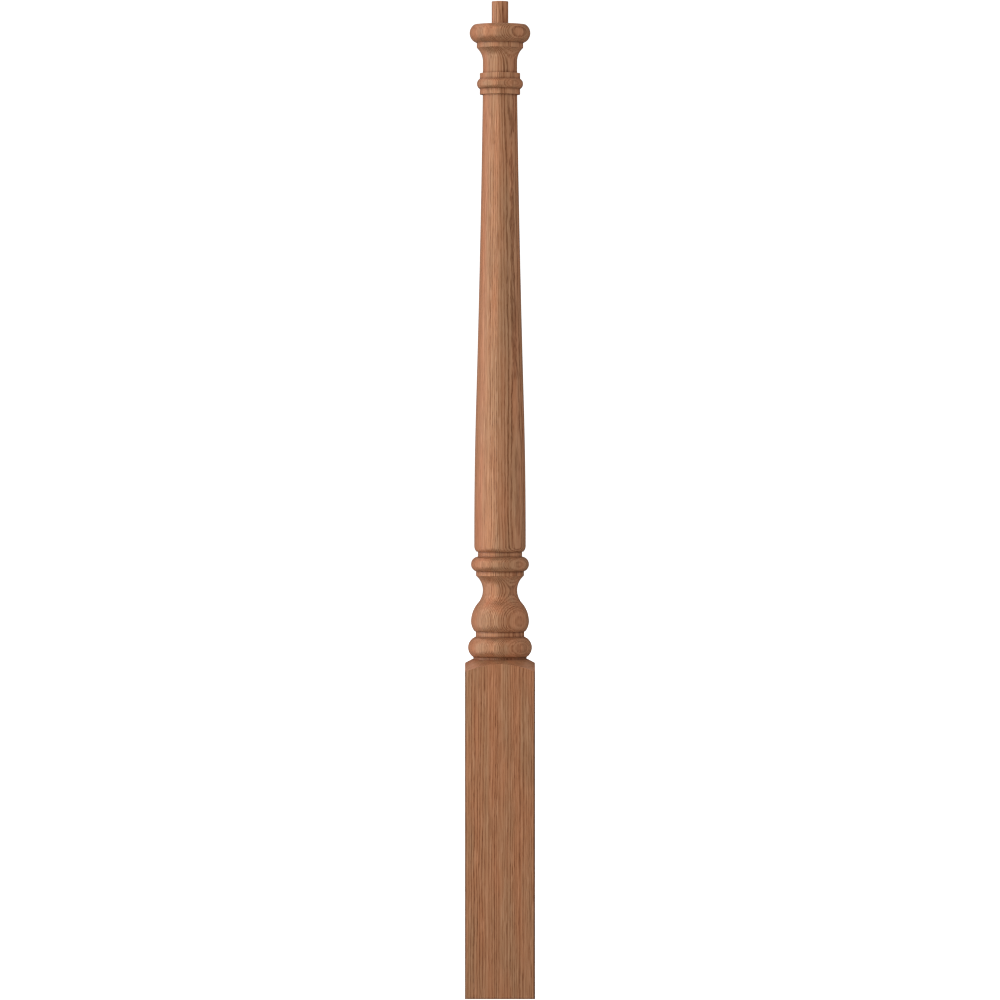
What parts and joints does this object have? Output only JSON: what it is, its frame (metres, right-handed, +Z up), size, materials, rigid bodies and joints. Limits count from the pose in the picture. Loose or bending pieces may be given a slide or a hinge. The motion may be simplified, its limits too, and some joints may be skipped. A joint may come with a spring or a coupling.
{
  "type": "newel post",
  "caption": "Turned hardwood newel post: square block foot, torus, vase and bead, long tapered shaft, collar, round moulded head and a round pin on top for a handrail fitting.",
  "frame": {"origin": "middle of the flat underside of the square block", "axes": "+Z up along the turning axis, towards the pin; the block's faces look along +X, -X, +Y and -Y, and the front of the picture looks along -Y"},
  "size_m": [0.0762, 0.0762, 1.0856],
  "materials": {
    "wood": "satin clear lacquer on red-brown open-pored hardwood"
  },
  "bodies": {
    "root": {"newel_post": "wood"}
  },
  "joints": []
}
